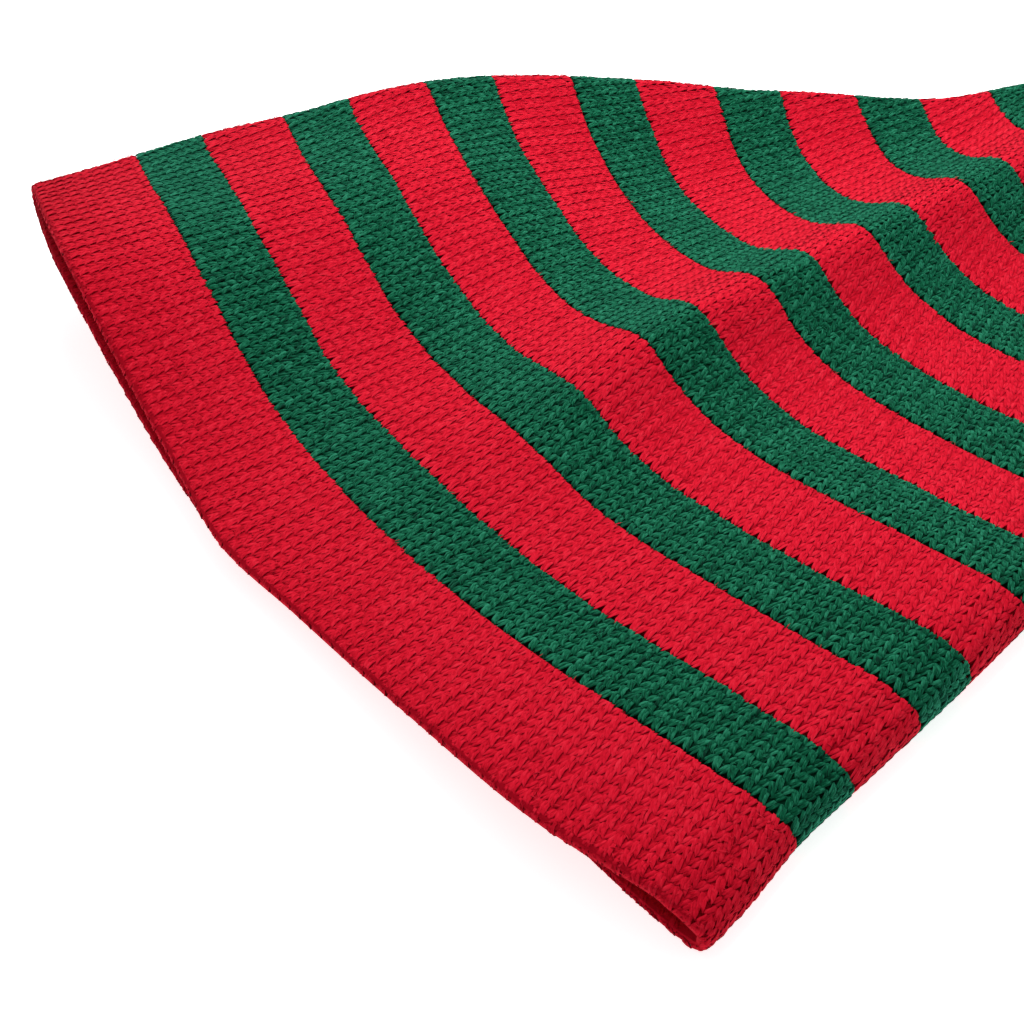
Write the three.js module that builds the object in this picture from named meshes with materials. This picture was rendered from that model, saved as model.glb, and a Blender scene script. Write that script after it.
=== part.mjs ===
// A knitted santa hat that lies on its side: a hollow tube of red and green bands, narrowing to a closed tip.
// Millimetres, +Z up, +X from the mouth to the tip, +Y to the side whose edge lies puffed up.
import * as THREE from "three";

// Cloth and bands
const wall = 2.8; // one layer of knitting
const layerSlack = 0.9; // least room between the two layers
const hemDepth = 28.6;
const greenDepth = 17.2;
const redDepth = 20.8;
const stripePairs = 9; // a green band and a red one each
const tipDepth = 17;
const bandGap = 0.3;

// Edges: the rounding of a folded side edge grows with the height of the fold
const leastEdgeRound = 4.5;
const edgeRoundShare = 0.36;

// The axis of the hat swings a little from the mouth to the tip
const rimTurn = THREE.MathUtils.degToRad(2.1);
const tipTurn = THREE.MathUtils.degToRad(-2.3);

// The middle of the mouth, seen from the middle of the whole hat's footprint
const rimCentre = new THREE.Vector2(-193.85, -2.93);

// How wide the flat hat is, and how far the middle of a knitted row lags behind its ends
const sections = [
  { along: 0, halfWidth: 133, bow: 16.5 },
  { along: 50, halfWidth: 122, bow: 15 },
  { along: 100, halfWidth: 111, bow: 15 },
  { along: 150, halfWidth: 97, bow: 16.5 },
  { along: 200, halfWidth: 75, bow: 16 },
  { along: 250, halfWidth: 51.5, bow: 12 },
  { along: 300, halfWidth: 37.5, bow: 9.5 },
  { along: 345, halfWidth: 24, bow: 5 },
  { along: 388, halfWidth: 9, bow: 1 },
];

// How far the edge of each layer lies back from the line of the mouth, across the hat
const rims = [
  { across: -133, upper: 2.8, lower: 2.8 },
  { across: -118, upper: 1.9, lower: 4.2 },
  { across: -100, upper: 0.6, lower: 6.6 },
  { across: -65, upper: 1.2, lower: 6.2 },
  { across: -30, upper: 0.9, lower: 4.6 },
  { across: -4, upper: -0.8, lower: 1.8 },
  { across: 22, upper: 1.7, lower: 1.6 },
  { across: 45, upper: 2.2, lower: 1.1 },
  { across: 90, upper: 0.6, lower: -1.2 },
  { across: 133, upper: 1, lower: 0 },
];
const rimFade = { upper: hemDepth, lower: 90 };

// Long soft folds of the upper layer. A crest runs from rimY at the mouth to tailY at tailAlong, and falls
// off over spreads of far on its +Y side and near on the other. It is whole between from and to, and fades
// beyond. The lower layer is carried up with it at the mouth, less and less up to carriedTo.
const tailAlong = 300;
const folds = [
  { height: 20.5, rimY: 93, tailY: 80, far: 69, near: 51, from: -60, to: 78, fade: 118, carriedTo: 130 },
  { height: 16.8, rimY: 173, tailY: 49, far: 22, near: 26, from: 47, to: 245, fade: 75, carriedTo: 0 },
  { height: 10.8, rimY: -20, tailY: 18, far: 26, near: 18, from: 120, to: 285, fade: 103, carriedTo: 0 },
  { height: 5.2, rimY: -121, tailY: -63, far: 68, near: 10, from: -60, to: 102, fade: 41, carriedTo: 0 },
];

// Facets round one section
const topSteps = 24;
const bottomSteps = 12;
const capSteps = 4;
const rowsPerBand = 3;
const tipRows = 6;
const puckerShare = 0.02;

const redYarn = new THREE.MeshStandardMaterial({ color: 0xc8192c, roughness: 0.95, metalness: 0 });
const greenYarn = new THREE.MeshStandardMaterial({ color: 0x12553c, roughness: 0.95, metalness: 0 });

const hatLength = hemDepth + stripePairs * (greenDepth + redDepth) + tipDepth;

// A smooth curve through one column of a table, read at a place in its key column
function tableValue(table, key, column, place) {
  const last = table.length - 1;
  const at = THREE.MathUtils.clamp(place, table[0][key], table[last][key]);
  const slope = (i) => {
    const before = table[Math.max(i - 1, 0)];
    const after = table[Math.min(i + 1, last)];
    return (after[column] - before[column]) / (after[key] - before[key]);
  };
  const i = Math.min(table.findLastIndex((row) => row[key] <= at), last - 1);
  const span = table[i + 1][key] - table[i][key];
  const u = (at - table[i][key]) / span;
  const rise = u * u * (3 - 2 * u);
  return (
    table[i][column] * (1 - rise) +
    table[i + 1][column] * rise +
    slope(i) * span * u * (1 - u) ** 2 -
    slope(i + 1) * span * u ** 2 * (1 - u)
  );
}

function sectionValue(column, along) {
  return tableValue(sections, "along", column, along);
}

// What is left, at a place of the cloth, of the set-back of a layer's edge
function rimLag(layer, along, across) {
  const left = 1 - THREE.MathUtils.smoothstep(along, 0, rimFade[layer]);
  return left * tableValue(rims, "across", layer, across);
}

function foldHeight(fold, along, across) {
  const offCrest = across - THREE.MathUtils.lerp(fold.rimY, fold.tailY, along / tailAlong);
  const spread = offCrest > 0 ? fold.far : fold.near;
  const begun = THREE.MathUtils.smoothstep(along, fold.from - fold.fade, fold.from);
  const ended = THREE.MathUtils.smoothstep(along, fold.to, fold.to + fold.fade);
  return fold.height * Math.exp(-((offCrest / spread) ** 2)) * begun * (1 - ended);
}

// Outside of the upper layer
function topHeight(along, across) {
  const flat = 2 * wall + layerSlack;
  return folds.reduce((sum, fold) => sum + foldHeight(fold, along, across), flat);
}

// Outside of the lower layer, which lies on the ground apart from the lifted corner of the mouth
function underHeight(along, across) {
  return folds
    .filter((fold) => fold.carriedTo > 0)
    .reduce((sum, fold) => {
      const carried = 1 - THREE.MathUtils.smoothstep(along, 0, fold.carriedTo);
      return sum + carried * foldHeight(fold, along, across);
    }, 0);
}

// Place of a point of the cloth: along the bent axis, across it, and up
function clothPoint(along, across, up) {
  const bend = (tipTurn - rimTurn) / hatLength;
  const turn = rimTurn + bend * along;
  const lead = sectionValue("bow", along) * (across / sectionValue("halfWidth", along)) ** 2;
  const axisX = (Math.sin(turn) - Math.sin(rimTurn)) / bend;
  const axisY = (Math.cos(rimTurn) - Math.cos(turn)) / bend;
  return new THREE.Vector3(
    rimCentre.x + axisX + lead * Math.cos(turn) - across * Math.sin(turn),
    rimCentre.y + axisY + lead * Math.sin(turn) + across * Math.cos(turn),
    up,
  );
}

// A rounded side edge between the two layers, without its two ends; side is 1 for +Y and -1 for -Y
function edgeCap(along, start, round, inset, side) {
  const high = topHeight(along, start) - inset;
  const low = underHeight(along, start) + inset;
  return Array.from({ length: capSteps - 1 }, (_, k) => {
    const angle = side * (Math.PI / 2 - (Math.PI * (k + 1)) / capSteps);
    const across = start + side * (round - inset) * Math.cos(angle);
    const upperShare = (1 + Math.sin(angle)) / 2;
    const lags = ["lower", "upper"].map((layer) => rimLag(layer, along, start));
    const lag = THREE.MathUtils.lerp(...lags, upperShare);
    return clothPoint(along + lag, across, THREE.MathUtils.lerp(low, high, upperShare));
  });
}

// One closed loop round the hat, inset from its outside, over the top from -Y to +Y and back underneath
function sectionLoop(along, inset) {
  const halfWidth = sectionValue("halfWidth", along);
  const edgeRound = (across) =>
    Math.max(leastEdgeRound, edgeRoundShare * (topHeight(along, across) - underHeight(along, across)));
  const nearStart = Math.min(-halfWidth + edgeRound(-halfWidth), -1);
  const farStart = halfWidth;
  const spaced = (steps, from, to) =>
    Array.from({ length: steps + 1 }, (_, k) => THREE.MathUtils.lerp(from, to, k / steps));
  const topPoint = (y) => clothPoint(along + rimLag("upper", along, y), y, topHeight(along, y) - inset);
  const underPoint = (y) => clothPoint(along + rimLag("lower", along, y), y, underHeight(along, y) + inset);
  return [
    ...spaced(topSteps, nearStart, farStart).map(topPoint),
    ...edgeCap(along, farStart, edgeRound(farStart), inset, 1),
    ...spaced(bottomSteps, farStart, nearStart).map(underPoint),
    ...edgeCap(along, nearStart, edgeRound(nearStart), inset, -1),
  ];
}

// A closed skin over a ring of loops, each joined to the next and the last one to the first
function skin(loops) {
  const count = loops[0].length;
  const positions = loops.flat().flatMap((p) => [p.x, p.y, p.z]);
  const index = [];
  for (let row = 0; row < loops.length; row += 1) {
    const here = row * count;
    const there = ((row + 1) % loops.length) * count;
    for (let k = 0; k < count; k += 1) {
      const next = (k + 1) % count;
      index.push(here + k, there + k, there + next, here + k, there + next, here + next);
    }
  }
  const geometry = new THREE.BufferGeometry();
  geometry.setAttribute("position", new THREE.Float32BufferAttribute(positions, 3));
  geometry.setIndex(index);
  return geometry;
}

function evenPlaces(from, to, rows) {
  return Array.from({ length: rows }, (_, k) => THREE.MathUtils.lerp(from, to, k / (rows - 1)));
}

// A hollow band: outer loops towards the tip, then inner loops back to the start
function bandGeometry(start, depth) {
  const places = evenPlaces(start + bandGap / 2, start + depth - bandGap / 2, rowsPerBand);
  const outer = places.map((along) => sectionLoop(along, 0));
  const inner = places.map((along) => sectionLoop(along, wall));
  return skin([...outer, ...inner.reverse()]);
}

// Loops of the tip, drawn together round their middle until the last one is a closed pucker
function gatheredLoops(start, depth, inset) {
  return evenPlaces(start + bandGap / 2, start + depth - inset, tipRows).map((along, row) => {
    const loop = sectionLoop(along, inset);
    const middle = loop.reduce((sum, p) => sum.add(p), new THREE.Vector3()).divideScalar(loop.length);
    const open = Math.sqrt(1 - (row / (tipRows - 1)) ** 2);
    return loop.map((p) => p.lerp(middle, 1 - Math.max(open, puckerShare)));
  });
}

// The tip: a cup whose outer and inner skins each close in a small flat pucker
function tipGeometry(start, depth) {
  const outer = gatheredLoops(start, depth, 0);
  const inner = gatheredLoops(start, depth, wall);
  return skin([...outer, ...inner.reverse()]);
}

const group = new THREE.Group();
let reached = 0;

function addBand(name, depth, shape, yarn) {
  const mesh = new THREE.Mesh(shape(reached, depth), yarn);
  mesh.name = name;
  group.add(mesh);
  reached += depth;
}

addBand("hem", hemDepth, bandGeometry, redYarn);
for (let pair = 0; pair < stripePairs; pair += 1) {
  const number = (offset) => String(2 * pair + offset).padStart(2, "0");
  addBand(`band_${number(1)}_green`, greenDepth, bandGeometry, greenYarn);
  addBand(`band_${number(2)}_red`, redDepth, bandGeometry, redYarn);
}
addBand("tip", tipDepth, tipGeometry, greenYarn);

export default group;
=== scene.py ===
import math

import bpy
import numpy as np
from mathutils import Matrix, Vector


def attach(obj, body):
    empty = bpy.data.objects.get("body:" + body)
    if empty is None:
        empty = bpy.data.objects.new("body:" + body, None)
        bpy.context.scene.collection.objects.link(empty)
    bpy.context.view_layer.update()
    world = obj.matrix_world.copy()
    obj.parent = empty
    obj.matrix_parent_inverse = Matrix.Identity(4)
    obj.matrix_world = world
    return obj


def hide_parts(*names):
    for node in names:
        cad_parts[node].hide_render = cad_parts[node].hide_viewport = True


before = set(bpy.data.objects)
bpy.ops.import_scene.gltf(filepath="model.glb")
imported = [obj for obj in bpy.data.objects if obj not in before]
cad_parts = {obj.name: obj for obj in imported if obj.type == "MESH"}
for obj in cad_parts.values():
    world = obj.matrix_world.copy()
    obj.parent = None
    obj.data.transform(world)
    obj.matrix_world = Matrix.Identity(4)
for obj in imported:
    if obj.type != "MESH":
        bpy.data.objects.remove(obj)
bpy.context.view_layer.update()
mm = 0.001
print("frame loaded,", len(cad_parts), "bands")


def addObject(name, data):
    made = bpy.data.objects.new(name, data)
    bpy.context.scene.collection.objects.link(made)
    return made


# camera, at the photo's angle; places in mm, in the hat's own frame
cameraSet = {
    "place": (-277.4, -246.7, 213.8),
    "looksAt": (-136.8, -26.3, 3.0),
    "lens": 56.5,
    "sensor": 36.0,
    "clipStart": 0.01,  # m
}


def addCamera(spec):
    data = bpy.data.cameras.new("hatCamera")
    data.lens = spec["lens"]
    data.sensor_width = spec["sensor"]
    data.clip_start = spec["clipStart"]
    cam = addObject("hatCamera", data)
    place = Vector(spec["place"]) * mm
    cam.location = place
    cam.rotation_euler = (Vector(spec["looksAt"]) * mm - place).to_track_quat("-Z", "Y").to_euler()
    bpy.context.scene.camera = cam


addCamera(cameraSet)
print("camera placed")


# small helpers for shader nodes: an input is a value or a socket to link
def addNode(tree, kind, inputs=None, **settings):
    made = tree.nodes.new(kind)
    for key, value in settings.items():
        setattr(made, key, value)
    for key, value in (inputs or {}).items():
        if isinstance(value, bpy.types.NodeSocket):
            tree.links.new(value, made.inputs[key])
        else:
            made.inputs[key].default_value = value
    return made


def addMath(tree, operation, first, second=0.0):
    return addNode(tree, "ShaderNodeMath", {0: first, 1: second}, operation=operation).outputs[0]


# floor and soft studio light
studio = {
    "floorSize": 3.0,  # m
    "floorColour": (0.94, 0.94, 0.94, 1),
    "floorRoughness": 0.9,
    "floorGlow": 0.75,  # a lit table top, so shadows stay pale
    "glowColour": (1, 1, 1, 1),
    "skyColour": (1.0, 1.0, 1.0, 1),
    "skyStrength": 0.42,
    "boxes": [  # aimed at the middle of the hat, m and W
        {"name": "topLight", "place": (0.0, 0.08, 0.4), "size": 0.2, "power": 1.9},
        {"name": "windowLight", "place": (0.35, 1.0, 0.6), "size": 0.55, "power": 10.2},
    ],
}


def addFloor(spec):
    half = spec["floorSize"] / 2
    corners = [(-half, -half, 0), (half, -half, 0), (half, half, 0), (-half, half, 0)]
    mesh = bpy.data.meshes.new("floor")
    mesh.from_pydata(corners, [], [(0, 1, 2, 3)])
    floor = addObject("floor", mesh)
    paper = bpy.data.materials.new("pale_paper")
    paper.use_nodes = True
    shader = paper.node_tree.nodes["Principled BSDF"]
    shader.inputs["Base Color"].default_value = spec["floorColour"]
    shader.inputs["Roughness"].default_value = spec["floorRoughness"]
    shader.inputs["Emission Color"].default_value = spec["glowColour"]
    shader.inputs["Emission Strength"].default_value = spec["floorGlow"]
    mesh.materials.append(paper)


def addLight(spec):
    world = bpy.data.worlds.new("studio")
    world.use_nodes = True
    sky = world.node_tree.nodes["Background"]
    sky.inputs["Color"].default_value = spec["skyColour"]
    sky.inputs["Strength"].default_value = spec["skyStrength"]
    bpy.context.scene.world = world
    for box in spec["boxes"]:
        data = bpy.data.lights.new(box["name"], "AREA")
        data.size = box["size"]
        data.energy = box["power"]
        lamp = addObject(box["name"], data)
        lamp.location = box["place"]
        lamp.rotation_euler = (-Vector(box["place"])).to_track_quat("-Z", "Y").to_euler()
    bpy.context.scene.view_settings.view_transform = "Standard"


addFloor(studio)
addLight(studio)
print("floor and light set")


# form of the lying hat, mm; along runs from the mouth to the tip, across to +Y
hat = {
    "wall": 2.8,  # one layer of knitting
    "slack": 0.9,  # least room between the layers
    "hemDepth": 28.6,
    "greenDepth": 17.2,
    "redDepth": 20.8,
    "pairs": 9,  # a green band and a red one each
    "tipDepth": 17.0,
    "pucker": 0.02,  # what stays open at the very tip, as a share
    "rimTurn": 2.1,  # degrees
    "tipTurn": -2.3,
    "rimCentre": (-193.85, -2.93),
    "edgeRound": 4.5,  # least rounding of a side edge, which grows with the height of the fold
    "edgeShare": 0.36,
    "nearLimit": -1.0,  # the near edge stays on its own side of the axis
    "tailAlong": 300.0,
    "rimFade": {"upper": 28.6, "lower": 90.0},  # how far in the set-back of an edge is felt
}
hat["length"] = hat["hemDepth"] + hat["pairs"] * (hat["greenDepth"] + hat["redDepth"]) + hat["tipDepth"]

hatSections = {  # half width of the flat hat, and how far the middle of a row lags behind its ends
    "along": (0, 50, 100, 150, 200, 250, 300, 345, 388),
    "halfWidth": (133, 122, 111, 97, 75, 51.5, 37.5, 24, 9),
    "bow": (16.5, 15, 15, 16.5, 16, 12, 9.5, 5, 1),
}
hatRims = {  # how far each layer's edge lies back from the line of the mouth
    "across": (-133, -118, -100, -65, -30, -4, 22, 45, 90, 133),
    "upper": (1.6, 0.0, -1.2, 0.6, 0.9, -0.8, 1.5, 1.8, 0.2, 0.2),
    "lower": (1.8, 3.3, 5.4, 5.6, 4.6, 1.8, 1.6, 1.1, -1.2, 0.0),
}
hatEdges = {  # small swells of the two side edges, mm outwards
    "along": (0, 15, 30, 50, 75, 110, 150, 170, 190, 212, 235, 250, 275, 310),
    "far": (2.0, 1.9, 1.6, 0.2, -1.8, -0.4, 0.5, 1.7, 0.7, -0.9, -3.0, -3.5, -1.4, 0.0),
    "near": (0.4, 0.2, -0.9, -0.3, 0.0, 0.0, 0.0, 0.0, 0.0, 0.0, 0.0, 0.0, 0.0, 0.0),
}
hatLean = {  # the columns of stitches lean to +Y, most in the middle of the hat
    "along": (0, 40, 100, 170, 200, 300, 388),
    "degrees": (0, 0, 7, 17, 18, 12, 8),
}
# long soft folds: a crest from rimY at the mouth to tailY at tailAlong, which falls off over far and near.
# It is whole from start to stop and fades beyond. The lower layer is lifted with it up to carriedTo.
hatFolds = [
    {"height": 20.5, "rimY": 93, "tailY": 80, "far": 69, "near": 51,
     "start": -60, "stop": 78, "fade": 118, "carriedTo": 130},
    {"height": 16.8, "rimY": 173, "tailY": 49, "far": 22, "near": 28,
     "start": 53, "stop": 248, "fade": 72, "carriedTo": 0},
    {"height": 7.5, "rimY": -19, "tailY": 17.5, "far": 31, "near": 22,
     "start": 101, "stop": 285, "fade": 91, "carriedTo": 0},
    {"height": 5.6, "rimY": -20.5, "tailY": 19.5, "far": 12, "near": 10.5,
     "start": 126, "stop": 285, "fade": 63, "carriedTo": 0},
    {"height": 5.2, "rimY": -121, "tailY": -63, "far": 68, "near": 10,
     "start": -60, "stop": 102, "fade": 41, "carriedTo": 0},
]


def smoothStep(x, low, high):
    u = np.clip((x - low) / (high - low), 0, 1)
    return u * u * (3 - 2 * u)


# smooth curve through one column of a table
def tableValue(table, key, column, place):
    xs = np.array(table[key], float)
    vs = np.array(table[column], float)
    slopes = np.empty_like(vs)
    slopes[1:-1] = (vs[2:] - vs[:-2]) / (xs[2:] - xs[:-2])
    slopes[0] = (vs[1] - vs[0]) / (xs[1] - xs[0])
    slopes[-1] = (vs[-1] - vs[-2]) / (xs[-1] - xs[-2])
    at = np.clip(place, xs[0], xs[-1])
    i = np.clip(np.searchsorted(xs, at, side="right") - 1, 0, len(xs) - 2)
    span = xs[i + 1] - xs[i]
    u = (at - xs[i]) / span
    rise = u * u * (3 - 2 * u)
    ends = slopes[i] * span * u * (1 - u) ** 2 - slopes[i + 1] * span * u * u * (1 - u)
    return vs[i] * (1 - rise) + vs[i + 1] * rise + ends


def sectionValue(column, along):
    return tableValue(hatSections, "along", column, along)


def rimLag(layer, along, across):
    left = 1 - smoothStep(along, 0, hat["rimFade"][layer])
    return left * tableValue(hatRims, "across", layer, across)


def foldRise(fold, along, across):
    crest = fold["rimY"] + (fold["tailY"] - fold["rimY"]) * along / hat["tailAlong"]
    off = across - crest
    spread = np.where(off > 0, fold["far"], fold["near"])
    begun = smoothStep(along, fold["start"] - fold["fade"], fold["start"])
    ended = smoothStep(along, fold["stop"], fold["stop"] + fold["fade"])
    return fold["height"] * np.exp(-((off / spread) ** 2)) * begun * (1 - ended)


def topRise(along, across):
    return 2 * hat["wall"] + hat["slack"] + sum(foldRise(fold, along, across) for fold in hatFolds)


def underRise(along, across):
    rise = 0
    for fold in hatFolds:
        if fold["carriedTo"] > 0:
            carried = 1 - smoothStep(along, 0, fold["carriedTo"])
            rise = rise + carried * foldRise(fold, along, across)
    return rise


def clothPlace(along, across, up):
    rimTurn = math.radians(hat["rimTurn"])
    bend = (math.radians(hat["tipTurn"]) - rimTurn) / hat["length"]
    turn = rimTurn + bend * along
    lead = sectionValue("bow", along) * (across / sectionValue("halfWidth", along)) ** 2
    axisX = hat["rimCentre"][0] + (np.sin(turn) - math.sin(rimTurn)) / bend
    axisY = hat["rimCentre"][1] + (math.cos(rimTurn) - np.cos(turn)) / bend
    x = axisX + lead * np.cos(turn) - across * np.sin(turn)
    y = axisY + lead * np.sin(turn) + across * np.cos(turn)
    return np.stack(np.broadcast_arrays(x, y, up), axis=-1)


def edgeRound(along, across):
    thick = topRise(along, across) - underRise(along, across)
    return np.maximum(hat["edgeRound"], hat["edgeShare"] * thick)


# loops round the hat, over the top from -Y to +Y and back underneath, with points evenly spaced on each
loopSet = {
    "top": 220,  # points worked out over the top
    "cap": 24,  # round a side edge, with the two ends that belong to the layers
    "under": 160,
    "points": 640,  # points of a finished loop
    "ahead": 1.0,  # mm to the loop that gives the slope of the cloth
}


def sectionLoops(alongs):
    at = np.asarray(alongs, float)[:, None]
    far = sectionValue("halfWidth", at)
    near = -far + edgeRound(at, -far) - tableValue(hatEdges, "along", "near", at)
    near = np.minimum(near, hat["nearLimit"])
    far = far + tableValue(hatEdges, "along", "far", at)
    over = near + (far - near) * np.linspace(0, 1, loopSet["top"])
    back = far + (near - far) * np.linspace(0, 1, loopSet["under"])

    def cap(start, side):
        angle = side * np.linspace(np.pi / 2, -np.pi / 2, loopSet["cap"])[1:-1]
        upper = (1 + np.sin(angle) * side) / 2
        high = topRise(at, start)
        low = underRise(at, start)
        out = start + side * edgeRound(at, start) * np.cos(angle)
        lag = rimLag("lower", at, start) * (1 - upper) + rimLag("upper", at, start) * upper
        return out, low + (high - low) * upper, lag

    farY, farZ, farLag = cap(far, 1)
    nearY, nearZ, nearLag = (values[:, ::-1] for values in cap(near, -1))
    across = np.concatenate([over, farY, back, nearY], axis=1)
    up = np.concatenate([topRise(at, over), farZ, underRise(at, back), nearZ], axis=1)
    lag = np.concatenate([rimLag("upper", at, over), farLag, rimLag("lower", at, back), nearLag], axis=1)
    points = clothPlace(at + lag, across, up)
    closed = np.concatenate([points, points[:, :1]], axis=1)
    steps = np.linalg.norm(np.diff(closed, axis=1), axis=2)
    run = np.concatenate([np.zeros((len(at), 1)), np.cumsum(steps, axis=1)], axis=1)
    wanted = np.arange(loopSet["points"]) / loopSet["points"]
    even = []
    for r, loop in zip(run, closed):
        even.append(np.stack([np.interp(wanted * r[-1], r, values) for values in loop.T], axis=-1))
    topEnd = loopSet["top"] + loopSet["cap"] - 2
    underEnd = topEnd + loopSet["under"]
    marks = (run[:, topEnd] / run[:, -1], run[:, underEnd] / run[:, -1])
    return np.array(even), np.array(marks).mean(axis=1)


leastLength = 1e-9  # keeps a vector of no length from a division by zero


def unit(v):
    return v / np.maximum(np.linalg.norm(v, axis=-1, keepdims=True), leastLength)


def wayRound(points):
    return np.roll(points, -1, axis=1) - np.roll(points, 1, axis=1)


# cloth as a grid: rows follow a profile of (along, inset) pairs, columns go round the hat
def clothGrid(profile, gather=None):
    profile = np.asarray(profile, float)
    alongs = profile[:, 0]
    loops, marks = sectionLoops(alongs)
    ahead, _ = sectionLoops(alongs + loopSet["ahead"])
    out = unit(np.cross(ahead - loops, wayRound(loops)))
    points = loops - out * profile[:, 1][:, None, None]
    if gather is not None:
        middle = points.mean(axis=1, keepdims=True)
        points = middle + (points - middle) * gather(alongs)[:, None, None]
    profileSteps = np.linalg.norm(np.diff(profile, axis=0), axis=1)
    return {
        "points": points,
        "normals": unit(np.cross(np.gradient(points, axis=0), wayRound(points))),
        "runs": np.concatenate([[0], np.cumsum(profileSteps)]),
        "girth": np.linalg.norm(np.roll(points, -1, axis=1) - points, axis=2).sum(axis=1),
        "marks": marks,
        "start": profile[0, 0],
        "lean": 0.0,
        "leanFrom": 0.0,
    }


# points and normals of the cloth, at runs along it and shares of a turn round it
def onCloth(grid, run, turn):
    rows, columns = grid["points"].shape[:2]
    r = np.interp(run, grid["runs"], np.arange(rows))
    c = np.mod(turn, 1.0) * columns
    r0 = np.minimum(r.astype(int), rows - 2)
    c0 = c.astype(int) % columns
    c1 = (c0 + 1) % columns
    fr = (r - r0)[..., None]
    fc = (c - np.floor(c))[..., None]

    def blend(values):
        low = values[r0, c0] * (1 - fc) + values[r0, c1] * fc
        high = values[r0 + 1, c0] * (1 - fc) + values[r0 + 1, c1] * fc
        return low * (1 - fr) + high * fr

    return blend(grid["points"]), unit(blend(grid["normals"]))


# a piece is gathered as arrays and becomes one joined mesh
def newPiece():
    piece = {key: [] for key in ("verts", "corners", "starts", "uvs", "tones", "cloth")}
    piece["vertCount"] = 0
    piece["cornerCount"] = 0
    return piece


def addVerts(piece, verts, tones, cloth):
    first = piece["vertCount"]
    piece["verts"].append(verts)
    piece["tones"].append(tones)
    piece["cloth"].append(cloth)
    piece["vertCount"] += len(verts)
    return first


def addFaces(piece, faces, uvs):
    piece["corners"].append(faces.ravel())
    piece["starts"].append(piece["cornerCount"] + np.arange(len(faces)) * faces.shape[1])
    piece["uvs"].append(uvs.reshape(-1, 2))
    piece["cornerCount"] += faces.size


def meshFrom(name, piece, softness):
    verts = np.concatenate(piece["verts"]) * mm
    verts[:, 2] = np.maximum(verts[:, 2], 0)  # the table flattens the underside
    corners = np.concatenate(piece["corners"]).astype(np.int32)
    starts = np.concatenate(piece["starts"]).astype(np.int32)
    mesh = bpy.data.meshes.new(name)
    mesh.vertices.add(len(verts))
    mesh.vertices.foreach_set("co", verts.astype(np.float32).ravel())
    mesh.loops.add(len(corners))
    mesh.loops.foreach_set("vertex_index", corners)
    mesh.polygons.add(len(starts))
    mesh.polygons.foreach_set("loop_start", starts)
    layer = mesh.uv_layers.new(name="yarn")
    layer.data.foreach_set("uv", np.concatenate(piece["uvs"]).astype(np.float32).ravel())
    tone = mesh.attributes.new("tone", "FLOAT", "POINT")
    tone.data.foreach_set("value", np.concatenate(piece["tones"]).astype(np.float32))
    mesh.update(calc_edges=True)
    mesh.validate()
    mesh.shade_smooth()
    # fuzzy yarn scatters light, so its shading leans towards that of the cloth
    own = np.empty(len(verts) * 3, np.float32)
    mesh.vertex_normals.foreach_get("vector", own)
    soft = unit(own.reshape(-1, 3) * (1 - softness) + np.concatenate(piece["cloth"]) * softness)
    mesh.normals_split_custom_set_from_vertices(soft.astype(np.float32))
    return addObject(name, mesh)


# tubes with pointed ends: centres are (tube, point, 3), and the two end points are the tips
def addTubes(piece, centres, normals, halfWide, halfHigh, sides, tones, yarnU):
    count, points = centres.shape[:2]
    rings = points - 2
    onward = unit(centres[:, 2:] - centres[:, :-2])
    sideways = unit(np.cross(normals[:, 1:-1], onward))
    outward = np.cross(onward, sideways)
    angle = 2 * np.pi * np.arange(sides) / sides - np.pi / 2
    ringVerts = (
        centres[:, 1:-1, None]
        + sideways[:, :, None] * (halfWide[..., None] * np.cos(angle))[..., None]
        + outward[:, :, None] * (halfHigh[..., None] * np.sin(angle))[..., None]
    )
    verts = np.concatenate([centres[:, :1], ringVerts.reshape(count, -1, 3), centres[:, -1:]], axis=1)
    perTube = verts.shape[1]
    onRings = np.repeat(normals[:, 1:-1], sides, axis=1)
    cloth = np.concatenate([normals[:, :1], onRings, normals[:, -1:]], axis=1)
    first = addVerts(piece, verts.reshape(-1, 3), np.repeat(tones, perTube), cloth.reshape(-1, 3))

    k = np.arange(sides)
    nextK = (k + 1) % sides
    ring = 1 + np.arange(rings - 1)[:, None] * sides
    nextRing = ring + sides
    lastRing = 1 + (rings - 1) * sides
    quads = np.stack([ring + k, ring + nextK, nextRing + nextK, nextRing + k], axis=-1).reshape(-1, 4)
    heads = np.stack([0 * k, 1 + nextK, 1 + k], axis=-1)
    tails = np.stack([0 * k + perTube - 1, lastRing + k, lastRing + nextK], axis=-1)
    tris = np.concatenate([heads, tails])
    tubeStart = first + (np.arange(count) * perTube)[:, None, None]

    # u follows the yarn in mm, v goes once round it
    v0 = k / sides
    v1 = (k + 1) / sides
    ringU = yarnU[:, 1:-1]
    quadU = np.stack([ringU[:, :-1], ringU[:, :-1], ringU[:, 1:], ringU[:, 1:]], axis=-1)
    quadU = np.repeat(quadU[:, :, None], sides, axis=2)
    quadV = np.broadcast_to(np.stack([v0, v1, v1, v0], axis=-1), quadU.shape)
    headU = np.stack([yarnU[:, 0], yarnU[:, 1], yarnU[:, 1]], axis=-1)[:, None].repeat(sides, axis=1)
    tailU = np.stack([yarnU[:, -1], yarnU[:, -2], yarnU[:, -2]], axis=-1)[:, None].repeat(sides, axis=1)
    headV = np.broadcast_to(np.stack([v0, v1, v0], axis=-1), headU.shape)
    tailV = np.broadcast_to(np.stack([v0, v0, v1], axis=-1), tailU.shape)
    triU = np.concatenate([headU, tailU], axis=1)
    triV = np.concatenate([headV, tailV], axis=1)

    addFaces(piece, (quads + tubeStart).reshape(-1, 4), np.stack([quadU, quadV], axis=-1))
    addFaces(piece, (tris + tubeStart).reshape(-1, 3), np.stack([triU, triV], axis=-1))


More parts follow.
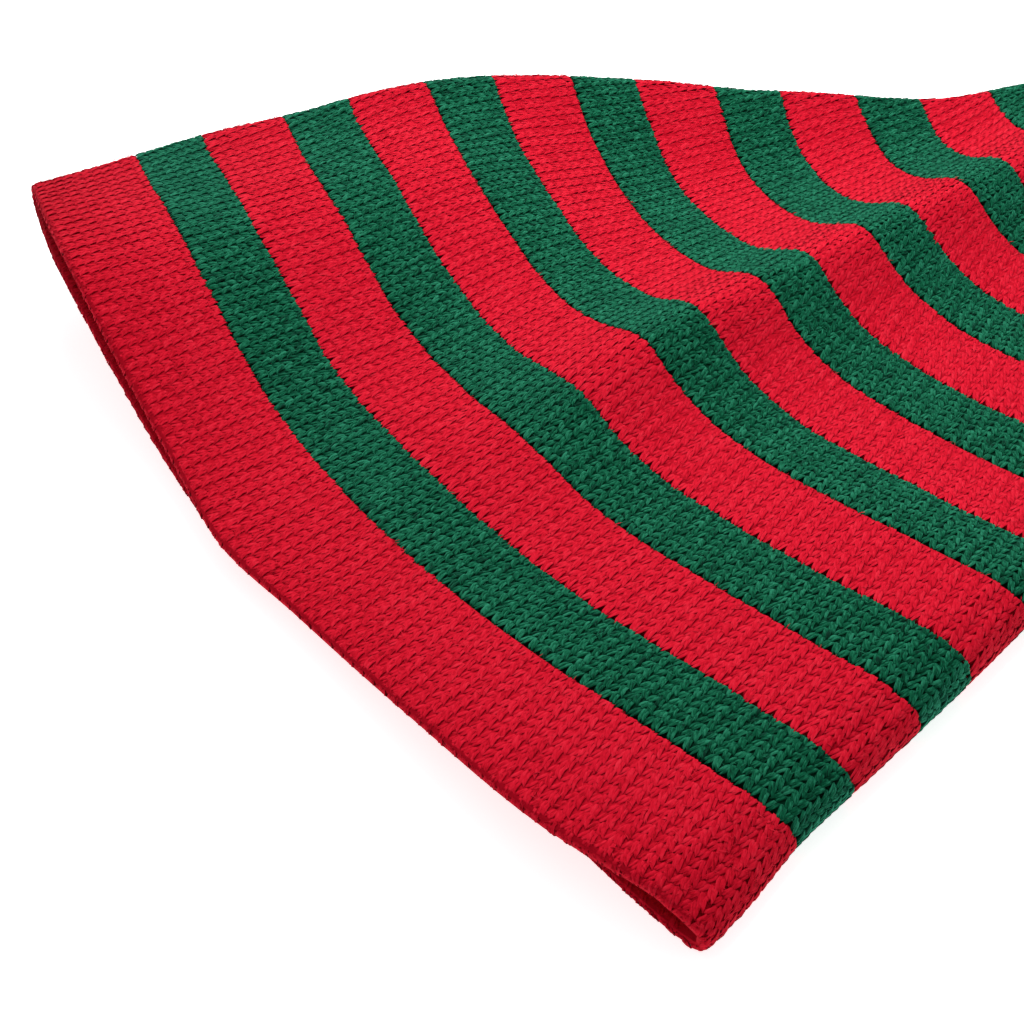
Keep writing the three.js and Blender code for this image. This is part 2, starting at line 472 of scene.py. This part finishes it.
# closed ring of rows round the hat, each joined to the next and the last to the first, with its own shading
def addRing(piece, ringList, tone):
    rows, columns = ringList.shape[:2]
    here = np.arange(rows)[:, None] * columns
    there = np.roll(here, -1, axis=0)
    k = np.arange(columns)
    nextK = (k + 1) % columns
    faces = np.stack([there + k, there + nextK, here + nextK, here + k], axis=-1).reshape(-1, 4)
    verts = ringList.reshape(-1, 3)
    first = addVerts(piece, verts, np.full(len(verts), tone), 0 * verts)
    addFaces(piece, faces + first, np.zeros((len(faces), 4, 2)))


# stitches: each is a V of two yarn legs, its point towards the mouth; a leg on top is two strands
knit = {
    "seed": 4,
    "wale": 3.36,  # width of a stitch
    "course": {"hem": 2.45, "green": 2.15, "red": 2.6, "tip": 2.3},
    "legWide": {"red": 0.22, "green": 0.21},  # half width of a leg, in stitch widths
    "legHigh": {"red": 0.28, "green": 0.34},  # half height, mm
    "dip": {"red": 0.52, "green": 0.62},  # how deep the ends of a leg go
    "sunk": 0.42,  # how far a leg's middle lies under the outside, mm
    "tooth": 0.22,  # the points of a band's first legs are longer, in courses
    "proud": 0.55,  # and dip less
    "groove": 0.6,  # how much deeper a band's last legs end, mm
    "short": 0.35,  # and how much shorter, in courses
    "opened": 0.02,  # how far a V's legs part beside its point, in stitch widths
    "paintedOpenShade": 11.0,  # painted shade: rows opened wider round the rim are painted darker, for the hem that faces away from the light, by this much for each stitch width
    "gape": 0.025,  # how unevenly the V's open, in stitch widths
    "wander": 0.02,  # uneven placing, in stitches
    "uneven": 0.1,  # uneven thickness
    "bob": 0.04,  # uneven height, mm
    "skew": 0.01,  # uneven slant, in stitch widths
    "dye": 0.4,  # uneven tone
    "strandApart": 0.5,  # from the middle of a leg to a strand, in half widths of the leg
    "strandWide": 0.62,  # half width of a strand, in half widths of its leg
    "lieOver": 0.07,  # one strand rises over the other, mm
    "lopsided": 0.08,  # the leg on the +Y side stands prouder, mm
    "twistFrom": 40.0,  # a yarn's twist starts anywhere up to here, mm
    "sides": 3,  # of a yarn's section
    "topMargin": 6.0,  # full stitches go on this far round the side edges, mm
    "gridReach": 4.0,  # the cloth is worked out this far past a band, mm
    "gridStep": 1.1,
    "tipStop": 0.2,  # and stops this far from the very tip
}
# a leg from the V's point to its open end: stitch widths across, courses along, dips up, and its thickness
topLeg = {
    "across": np.array([0.05, 0.155, 0.26, 0.34, 0.36]),
    "along": np.array([-0.80, -0.46, 0.02, 0.48, 0.80]),
    "lift": np.array([-0.50, 0.0, 0.06, -0.34, -1.00]),
    "fat": np.array([0.88, 0.97, 0.88]),
    "strands": (-1, 1),
}
underLeg = {
    "across": np.array([0.06, 0.16, 0.32, 0.38]),
    "along": np.array([-0.74, -0.24, 0.46, 0.94]),
    "lift": np.array([-0.8, 0.0, 0.0, -0.8]),
    "fat": np.array([1.05, 1.0]),
    "strands": (0,),
}
# slow wandering of the rows: cycles round the hat, mm along in a cycle, mm of sway
sways = [
    {"cycles": 3, "length": 210.0, "amount": 0.3, "phase": 0.4},
    {"cycles": 11, "length": -64.0, "amount": 0.2, "phase": 2.1},
    {"cycles": 26, "length": 31.0, "amount": 0.12, "phase": 4.0},
]
acrossShift = 1.7  # the sway across is out of step with the one along


def swayAt(along, turn, shift):
    sway = 0
    for wave in sways:
        angle = 2 * np.pi * (wave["cycles"] * turn + along / wave["length"])
        sway = sway + wave["amount"] * np.sin(angle + wave["phase"] + shift)
    return sway


def addStitches(piece, grid, rows, picked, leg, dice, yarn):
    row, column = np.nonzero(picked)
    count = len(row)
    if count == 0:
        return
    waleCount = rows["waleCount"]
    rowRun = rows["runs"][row]
    opened = rows["opened"][row]
    wale = (np.interp(rowRun, grid["runs"], grid["girth"]) / waleCount)[:, None]
    course = rows["courses"][row][:, None]
    slim = np.minimum(1, (wale / knit["wale"]) ** 0.5)  # narrow stitches have thinner yarn
    middleTurn = (column + 0.5) / waleCount
    firstRow = (row == 0)[:, None]
    lastRow = (row == len(rows["runs"]) - 1)[:, None]
    way = np.linspace(-1, 1, len(leg["lift"]))  # from the point of the V to its open end
    ending = lastRow * np.maximum(way, 0)
    starting = firstRow * np.maximum(-way, 0)
    gape = dice.normal(0, knit["gape"], (count, 1)) + opened[:, None]
    swayAlong = swayAt(rowRun + grid["start"], middleTurn, 0.0)[:, None]
    swayAcross = swayAt(rowRun + grid["start"], middleTurn, acrossShift)[:, None] / wale
    halfLeg = knit["legWide"][yarn]
    for side in (-1, 1):
        shift = dice.normal(0, knit["wander"], (count, 2))
        rise = dice.normal(0, knit["bob"], (count, 1))
        for strand in leg["strands"]:
            thick = 1 + dice.normal(0, knit["uneven"], (count, 1))
            slant = dice.normal(0, knit["skew"], (count, 1)) * way
            across = leg["across"] + gape * (1 - way**2) + strand * knit["strandApart"] * halfLeg + slant
            reach = leg["along"] - knit["short"] * ending - knit["tooth"] * starting + shift[:, 1:]
            run = rowRun[:, None] + reach * course + swayAlong
            leaning = grid["lean"] * (run - grid["leanFrom"]) / wale
            turn = (column + 0.5)[:, None] + side * across + shift[:, :1] + swayAcross + leaning
            lift = leg["lift"] * (1 - knit["proud"] * starting) * knit["dip"][yarn] * slim
            lift = lift + rise + strand * knit["lieOver"] * way + side * knit["lopsided"]
            points, normals = onCloth(grid, run, turn / waleCount)
            centres = points + normals * (lift - knit["sunk"] - knit["groove"] * ending)[..., None]
            halfWide = leg["fat"] * wale * halfLeg * thick * (knit["strandWide"] if strand else 1)
            halfHigh = leg["fat"] * knit["legHigh"][yarn] * slim * thick
            steps = np.linalg.norm(np.diff(centres, axis=1), axis=2)
            yarnU = np.concatenate([np.zeros((count, 1)), np.cumsum(steps, axis=1)], axis=1)
            yarnU = yarnU + dice.uniform(0, knit["twistFrom"], (count, 1))
            tones = np.clip(dice.normal(0, knit["dye"], count), -1, 1)
            # painted shade on the stretched rows round the rim
            tones = tones - knit["paintedOpenShade"] * (opened - knit["opened"])
            addTubes(piece, centres, normals, halfWide, halfHigh, knit["sides"], tones, yarnU)


# full stitches where they show, and plainer ones where they don't
def workRows(piece, grid, rows, shown, dice, yarn):
    addStitches(piece, grid, rows, shown, topLeg, dice, yarn)
    addStitches(piece, grid, rows, ~shown, underLeg, dice, yarn)


def evenRows(start, depth, course):
    count = max(1, round(depth / course))
    return start + (np.arange(count) + 0.5) * depth / count, np.full(count, depth / count)


def onTop(grid, turn, margin):
    edge = margin / grid["girth"].mean()
    return (turn < grid["marks"][0] + edge) | (turn > grid["marks"][1] - edge)


def upperColumns(grid, waleCount):
    return onTop(grid, (np.arange(waleCount) + 0.5) / waleCount, knit["topMargin"])


# fuzz: short fine fibres that stand off the yarn, each a slim closed sliver
fuzz = {
    "perArea": 0.24,  # in a square mm
    "length": (0.8, 2.2),  # mm
    "halfThick": 0.045,
    "stand": 0.16,  # how steeply they leave the cloth
    "stray": 0.9,  # how far they turn from the line of the stitches, radians
    "rooted": 0.2,  # mm under the outside
    "lift": 0.06,  # a fibre's middle is raised by this, mm
    "arch": 0.1,  # and by up to this share of its length
    # painted highlight: the fibres are painted lighter than their yarn, for the light that fine fibres
    # catch
    "tone": (0.2, 1.8),
    "topMargin": -8.0,  # they stay this far inside the side edges, mm
    "startGap": 1.0,  # and this far from the two ends of a band
    "endGap": 1.6,
    "rimGap": 0.5,
    "ahead": 0.5,  # mm to the place that gives the line of the stitches
}
sliverFaces = np.array([(0, 3, 2), (1, 2, 3), (0, 2, 1), (0, 1, 3)])


def addFuzz(piece, grid, fromRun, toRun, dice):
    count = int(fuzz["perArea"] * (toRun - fromRun) * grid["girth"].mean())
    run = dice.uniform(fromRun, toRun, count)
    turn = dice.uniform(0, 1, count)
    kept = onTop(grid, turn, fuzz["topMargin"])
    run = run[kept]
    turn = turn[kept]
    count = len(run)
    points, normals = onCloth(grid, run, turn)
    ahead, _ = onCloth(grid, run + fuzz["ahead"], turn)
    onward = unit(ahead - points)
    beside = np.cross(normals, onward)
    angle = dice.normal(0, fuzz["stray"], count)[:, None]
    lean = dice.uniform(0, fuzz["stand"], count)[:, None]
    way = unit(onward * np.cos(angle) + beside * np.sin(angle) + normals * lean)
    long = dice.uniform(*fuzz["length"], count)[:, None]
    start = points - normals * fuzz["rooted"]
    arch = fuzz["lift"] + long * dice.uniform(0, fuzz["arch"], count)[:, None]
    middle = start + way * long * 0.5 + normals * arch
    wide = unit(np.cross(normals, way)) * fuzz["halfThick"]
    verts = np.stack([start, start + way * long, middle + wide, middle - wide], axis=1)
    corners = verts.shape[1]
    faces = (sliverFaces + corners * np.arange(count)[:, None, None]).reshape(-1, 3)
    uvs = np.repeat(dice.uniform(0, knit["twistFrom"], (count, 1)), sliverFaces.size * 2, axis=1)
    # lighter tones: a painted highlight
    tones = np.repeat(dice.uniform(*fuzz["tone"], count), corners)
    first = addVerts(piece, verts.reshape(-1, 3), tones, np.repeat(normals, corners, axis=0))
    addFaces(piece, faces + first, uvs)


# backing: a closed tube under the stitches. Its front stops short of a change of colour, which leaves dark
# notches between the stitches, and its rear passes the change, so no light comes through
backing = {
    "under": {"red": 0.52, "green": 0.62},  # from the outside down to its front, mm
    # painted shade: the backing shows only in the gaps between stitches, so it is painted darker than them
    "tone": -0.7,
    "gap": 1.0,  # how far its front stays back from its rear edges, mm
    "lap": 0.1,  # how far its rear passes a change of colour, mm
    "columnWide": 5.5,  # mm
    "columns": (24, 100),  # fewest and most
    "rows": 4,
}


def sunkRows(grid, runs, turns, depth):
    points, normals = onCloth(grid, *np.broadcast_arrays(runs[:, None], turns[None]))
    return points - normals * depth


def addBacking(piece, grid, fromRun, toRun, rows, front, back, tone, gaps):
    columns = int(np.clip(grid["girth"].mean() / backing["columnWide"], *backing["columns"]))
    turns = np.arange(columns) / columns
    face = sunkRows(grid, np.linspace(fromRun + gaps[0], toRun - gaps[1], rows), turns, front)
    rear = sunkRows(grid, np.linspace(toRun, fromRun, rows), turns, back)
    addRing(piece, np.concatenate([face, rear]), tone)


def knitBand(start, depth, course, dice, yarn, gather=None):
    piece = newPiece()
    lowest = max(start - knit["gridReach"], 0.0)
    highest = min(start + depth + knit["gridReach"], hat["length"] - knit["tipStop"])
    alongs = np.arange(lowest, highest, knit["gridStep"])
    grid = clothGrid(np.stack([alongs, 0 * alongs], axis=1), gather)
    middle = start + depth / 2
    grid["lean"] = math.tan(math.radians(tableValue(hatLean, "along", "degrees", middle)))
    grid["leanFrom"] = middle - alongs[0]
    waleCount = int(round(np.interp(middle, alongs, grid["girth"]) / knit["wale"]))
    places, courses = evenRows(start, depth, course)
    opened = np.full(len(places), knit["opened"])
    rows = {"runs": places - alongs[0], "courses": courses, "waleCount": waleCount, "opened": opened}
    shown = np.tile(upperColumns(grid, waleCount), (len(places), 1))
    workRows(piece, grid, rows, shown, dice, yarn)
    fuzzEnd = min(start + depth - fuzz["endGap"], alongs[-1])
    addFuzz(piece, grid, start + fuzz["startGap"] - alongs[0], fuzzEnd - alongs[0], dice)
    begin = start - backing["lap"] - alongs[0]
    end = min(start + depth + backing["lap"], alongs[-1]) - alongs[0]
    gaps = (backing["gap"], backing["gap"] if gather is None else 0.0)
    front = backing["under"][yarn]
    addBacking(piece, grid, begin, end, backing["rows"], front, hat["wall"], backing["tone"], gaps)
    return piece


# hem: the knitting is turned in at the rim, so its rows go on round the edge and inside
hem = {
    "turn": (  # along and inset, mm
        (3.2, 2.8), (1.5, 2.75), (0.6, 2.35), (0.15, 1.4), (0.6, 0.45), (1.5, 0.05),
    ),
    "edgeAt": 3,  # which of these places is the very edge
    "insideTo": 12.0,  # how far in the turned knitting reaches, mm
    "insideFrom": 4.0,
    "outsideFrom": 2.6,
    "edgeReach": 4.0,  # full stitches all round, this far to both sides of the edge
    "openMore": 0.055,  # the rows beside the edge are stretched open
    "openAt": 4.0,  # most of all this far from it, mm
    "openWhole": 1.0,
    "openReach": 18.0,
    "coreFrom": 0.9,  # its backing starts behind the edge, mm
    "corePast": 2.0,
    "coreStep": 1.0,
    "coreRows": 9,
    # painted shade: the hem's backing is painted darker still, as it shows only through the gaps of the
    # stretched rows
    "coreShade": -1.1,
}


def knitHem(depth, course, dice):
    piece = newPiece()
    insideAlongs = np.arange(hem["insideTo"], hem["insideFrom"], -knit["gridStep"])
    inside = [(along, hat["wall"]) for along in insideAlongs]
    outsideAlongs = np.arange(hem["outsideFrom"], depth + knit["gridReach"], knit["gridStep"])
    outside = [(along, 0.0) for along in outsideAlongs]
    grid = clothGrid(inside + list(hem["turn"]) + outside)
    edgeRun = grid["runs"][len(inside) + hem["edgeAt"]]
    depthRun = grid["runs"][-1] - (outside[-1][0] - depth)
    waleCount = int(round(grid["girth"][-1 - len(outside) // 2] / knit["wale"]))
    runs, courses = evenRows(0.0, depthRun, course)
    outer = (runs > edgeRun)[:, None]
    nearEdge = (abs(runs - edgeRun) < hem["edgeReach"])[:, None]
    shown = (outer & upperColumns(grid, waleCount)) | nearEdge
    fromOpen = abs(runs - edgeRun - hem["openAt"])
    stretched = 1 - smoothStep(fromOpen, hem["openWhole"], hem["openReach"])
    opened = knit["opened"] + hem["openMore"] * stretched
    rows = {"runs": runs, "courses": courses, "waleCount": waleCount, "opened": opened}
    workRows(piece, grid, rows, shown, dice, "red")
    addFuzz(piece, grid, edgeRun + fuzz["rimGap"], depthRun - fuzz["endGap"], dice)
    coreAlongs = np.arange(hem["coreFrom"], depth + hem["corePast"], hem["coreStep"])
    core = clothGrid([(along, 0.0) for along in coreAlongs])
    coreEnd = depth + backing["lap"] - hem["coreFrom"]
    front = backing["under"]["red"]
    back = hat["wall"] - front
    gaps = (0.0, backing["gap"])
    addBacking(piece, core, 0.0, coreEnd, hem["coreRows"], front, back, hem["coreShade"], gaps)
    return piece


# yarn: soft acrylic, loosely twisted, with fine fibres along it
yarns = {
    "red_yarn": {
        "deep": (0.25, 0.0009, 0.006, 1),
        "dark": (0.38, 0.0018, 0.011, 1),
        "middle": (0.495, 0.0046, 0.0185, 1),
        "light": (0.58, 0.016, 0.034, 1),
        "sheen": (0.85, 0.05, 0.08, 1),
        "sheenWeight": 0.3,
        "fibres": 2.0,  # how strongly they show
        "uneven": 0.25,  # how strongly the tone of a yarn shows
        "softness": 0.66,
    },
    "green_yarn": {
        "deep": (0.0002, 0.012, 0.006, 1),
        "dark": (0.0004, 0.032, 0.014, 1),
        "middle": (0.0008, 0.066, 0.028, 1),
        "light": (0.014, 0.142, 0.076, 1),
        "sheen": (0.06, 0.5, 0.32, 1),
        "sheenWeight": 0.85,
        "fibres": 2.7,
        "uneven": 0.4,
        "softness": 0.42,
    },
}
yarnLook = {
    "twist": 0.11,  # turns in a mm
    "fibresRound": 6.0,
    "fibresAlong": 0.6,  # in a mm
    "fibreScale": 1.0,
    "fibreDetail": 3.0,
    "fibreRoughness": 0.6,
    "fibreBump": 0.09,  # mm
    "toneJump": 37.0,  # yarns of other tones have other fibres
    "darkAt": 0.12,  # places of the shades between deep at 0 and light at 1
    "middleAt": 0.5,
    "roughness": 0.9,
    "sheenRoughness": 0.4,
    "specular": 0.04,
}


def yarnMaterial(name, colours):
    made = bpy.data.materials.new(name)
    made.use_nodes = True
    tree = made.node_tree
    shader = tree.nodes["Principled BSDF"]
    uv = addNode(tree, "ShaderNodeUVMap", uv_map="yarn").outputs[0]
    split = addNode(tree, "ShaderNodeSeparateXYZ", {0: uv})
    run = split.outputs[0]
    roundYarn = split.outputs[1]
    tone = addNode(tree, "ShaderNodeAttribute", attribute_name="tone").outputs["Fac"]

    # fibres wind slowly round a strand
    wind = addMath(tree, "ADD", roundYarn, addMath(tree, "MULTIPLY", run, yarnLook["twist"]))
    place = addNode(tree, "ShaderNodeCombineXYZ", {
        0: addMath(tree, "MULTIPLY", wind, yarnLook["fibresRound"]),
        1: addMath(tree, "MULTIPLY", run, yarnLook["fibresAlong"]),
        2: addMath(tree, "MULTIPLY", tone, yarnLook["toneJump"]),
    }).outputs[0]
    fibre = addNode(tree, "ShaderNodeTexNoise", {
        "Vector": place,
        "Scale": yarnLook["fibreScale"],
        "Detail": yarnLook["fibreDetail"],
        "Roughness": yarnLook["fibreRoughness"],
    }).outputs[0]

    # colour: fibres and uneven dye between a dark and a light shade
    shade = addMath(tree, "MULTIPLY", addMath(tree, "SUBTRACT", fibre, 0.5), colours["fibres"])
    shade = addMath(tree, "ADD", shade, addMath(tree, "MULTIPLY", tone, colours["uneven"]))
    shade = addMath(tree, "ADD", shade, 0.5)
    ramp = addNode(tree, "ShaderNodeValToRGB", {0: shade})
    stops = ramp.color_ramp.elements
    stops[0].position = 0.0
    stops[0].color = colours["deep"]
    stops[1].position = 1.0
    stops[1].color = colours["light"]
    stops.new(yarnLook["darkAt"]).color = colours["dark"]
    stops.new(yarnLook["middleAt"]).color = colours["middle"]
    tree.links.new(ramp.outputs[0], shader.inputs["Base Color"])

    bump = addNode(tree, "ShaderNodeBump", {"Height": fibre, "Distance": yarnLook["fibreBump"] * mm})
    tree.links.new(bump.outputs[0], shader.inputs["Normal"])
    shader.inputs["Roughness"].default_value = yarnLook["roughness"]
    shader.inputs["Specular IOR Level"].default_value = yarnLook["specular"]
    shader.inputs["Sheen Weight"].default_value = colours["sheenWeight"]
    shader.inputs["Sheen Roughness"].default_value = yarnLook["sheenRoughness"]
    shader.inputs["Sheen Tint"].default_value = colours["sheen"]
    return made


yarnMaterials = {slot: yarnMaterial(slot, colours) for slot, colours in yarns.items()}
print("yarns dyed")


def finishBand(node, piece, slot):
    made = meshFrom(node + "_knit", piece, yarns[slot]["softness"])
    made.data.materials.append(yarnMaterials[slot])
    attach(made, "root")
    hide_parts(node)
    triangles = sum(len(p.vertices) - 2 for p in made.data.polygons)
    print("knitted", made.name, triangles, "triangles")
    return triangles


# the rows of the tip are drawn together until a small pucker is left
def gatherTip(along):
    u = np.clip((along - (hat["length"] - hat["tipDepth"])) / hat["tipDepth"], 0, 1)
    return np.maximum(np.sqrt(1 - u * u), hat["pucker"])


dice = np.random.default_rng(knit["seed"])
triangleSum = finishBand("hem", knitHem(hat["hemDepth"], knit["course"]["hem"], dice), "red_yarn")
reached = hat["hemDepth"]
for pair in range(hat["pairs"]):
    for offset, yarn in ((1, "green"), (2, "red")):
        depth = hat[yarn + "Depth"]
        band = knitBand(reached, depth, knit["course"][yarn], dice, yarn)
        triangleSum += finishBand("band_%02d_%s" % (2 * pair + offset, yarn), band, yarn + "_yarn")
        reached += depth
tipPiece = knitBand(reached, hat["tipDepth"], knit["course"]["tip"], dice, "green", gatherTip)
triangleSum += finishBand("tip", tipPiece, "green_yarn")
print("all stitches:", triangleSum, "triangles")

bpy.context.view_layer.update()
